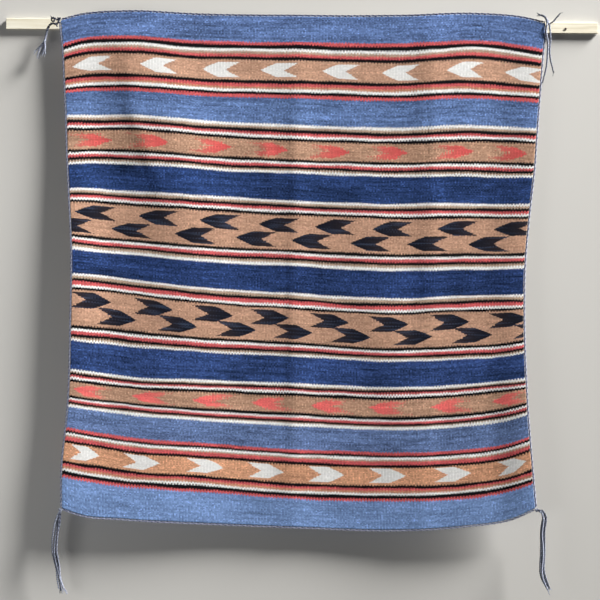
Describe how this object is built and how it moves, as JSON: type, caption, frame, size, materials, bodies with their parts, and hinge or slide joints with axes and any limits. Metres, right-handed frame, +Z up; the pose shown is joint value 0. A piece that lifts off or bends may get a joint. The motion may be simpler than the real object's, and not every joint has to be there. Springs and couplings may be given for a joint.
{
  "type": "navajo rug on a wooden wall strip",
  "caption": "Weft-faced wool rug with banded stripes and arrow rows, corner tassels, hung by its top edge on a plain wooden wall strip.",
  "frame": {"origin": "centre of the wall strip's flat back face, on the wall", "axes": "+Y into the wall, so the rug's face looks along -Y; +X to the right along the strip; +Z up"},
  "size_m": [1.22, 0.0505, 1.1945],
  "materials": {
    "woven_wool": "weft-faced handspun wool in blue, navy, tan, black, white and coral bands",
    "wool_cord": "twisted blue-grey wool edge cord",
    "wool_tassel": "loose blue-grey and dark blue wool cord ends",
    "strip_wood": "bare pale softwood, fine straight grain",
    "nail_steel": "dark dull steel"
  },
  "bodies": {
    "root": {"rug_web": "woven_wool", "side_cord_left": "wool_cord", "side_cord_right": "wool_cord", "end_cord_top": "wool_cord", "end_cord_bottom": "wool_cord", "tassel_top_left": "wool_tassel", "tassel_top_right": "wool_tassel", "tassel_bottom_left": "wool_tassel", "tassel_bottom_right": "wool_tassel", "wall_strip": "strip_wood", "nail_head_right": "nail_steel"}
  },
  "joints": []
}
